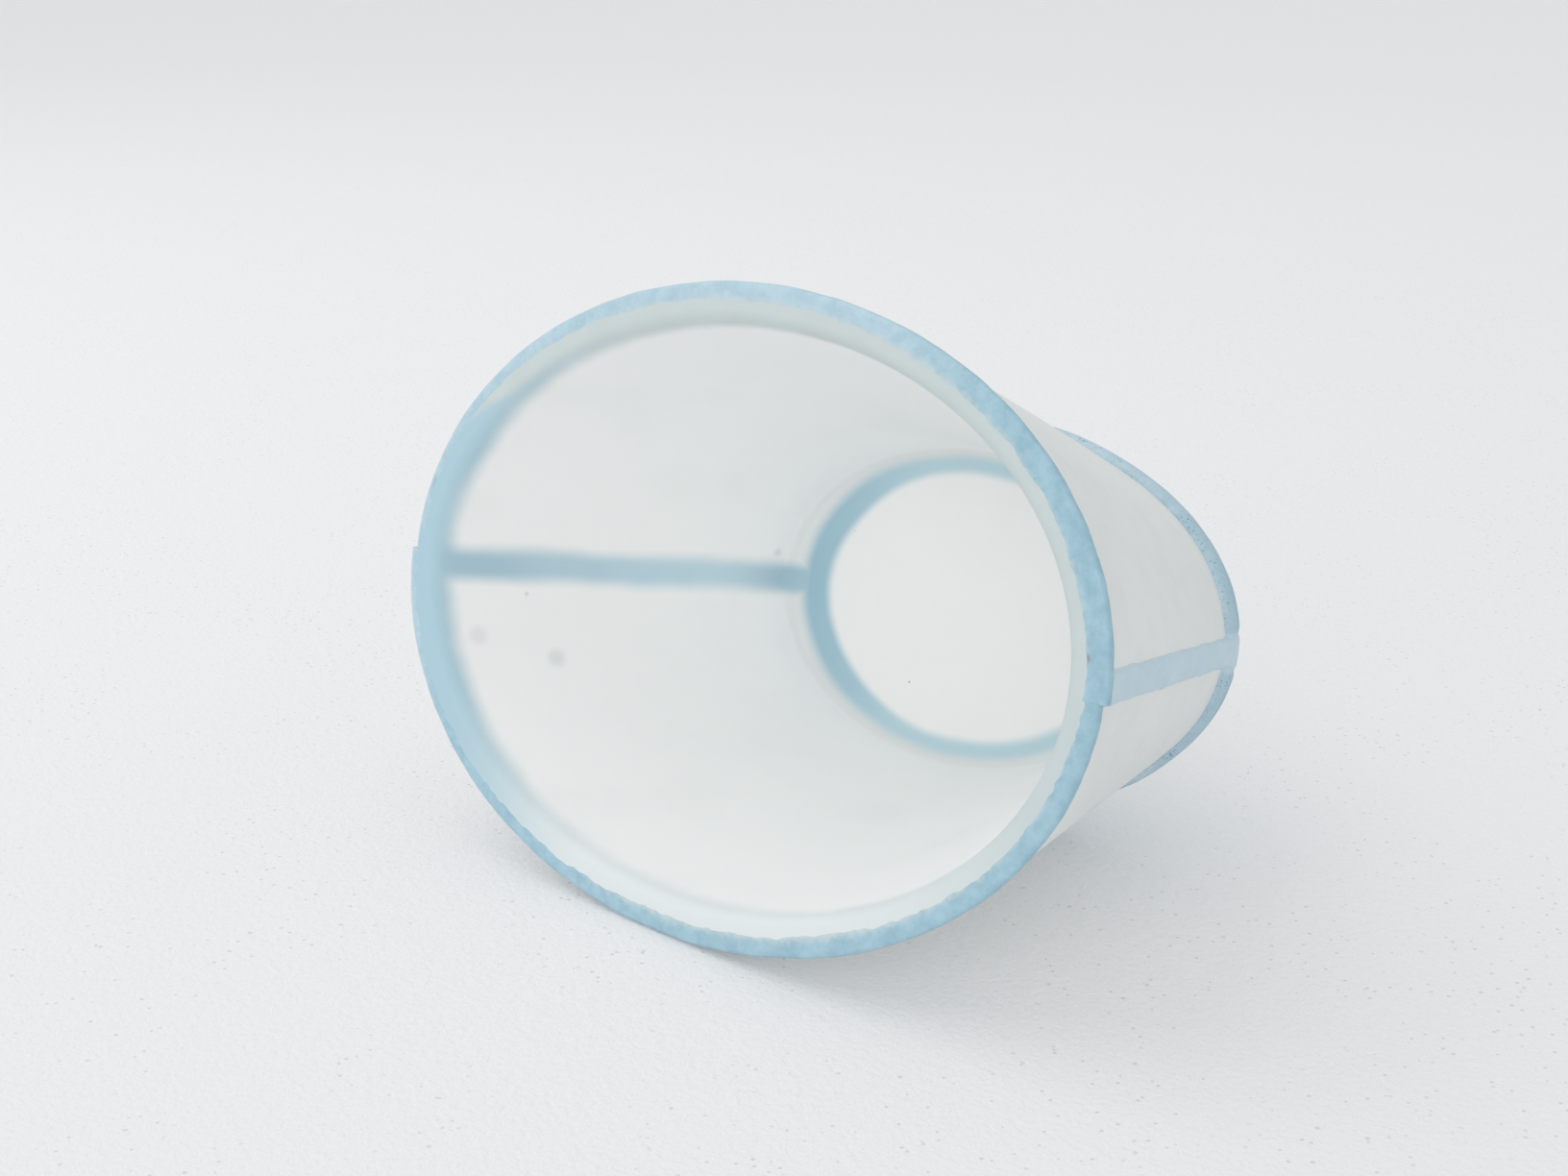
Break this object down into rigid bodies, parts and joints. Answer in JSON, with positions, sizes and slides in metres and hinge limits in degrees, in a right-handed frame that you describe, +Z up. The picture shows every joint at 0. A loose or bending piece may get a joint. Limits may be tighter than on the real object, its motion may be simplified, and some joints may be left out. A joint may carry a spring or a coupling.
{
  "type": "sampler cup",
  "caption": "Oval tapered cup with frosted translucent walls, bonded from two half shells and a base plate, with light blue edging on the rim, foot and side seams.",
  "frame": {"origin": "middle of the foot, on the surface that the cup stands on", "axes": "+Z up the cup's axis towards the mouth, X through both side seams along the long axis of the oval, Y across it"},
  "size_m": [0.0826, 0.06, 0.0425],
  "materials": {
    "frosted_wall": "frosted, milky translucent",
    "frosted_base": "frosted, milky translucent",
    "blue_edging": "cast, slightly translucent, mottled light blue"
  },
  "bodies": {
    "root": {"half_shell_back": "frosted_wall", "half_shell_front": "frosted_wall", "base_plate": "frosted_base", "rim_band_back": "blue_edging", "rim_band_front": "blue_edging", "foot_ring_back": "blue_edging", "foot_ring_front": "blue_edging", "side_strip_right": "blue_edging", "side_strip_left": "blue_edging"}
  },
  "joints": []
}
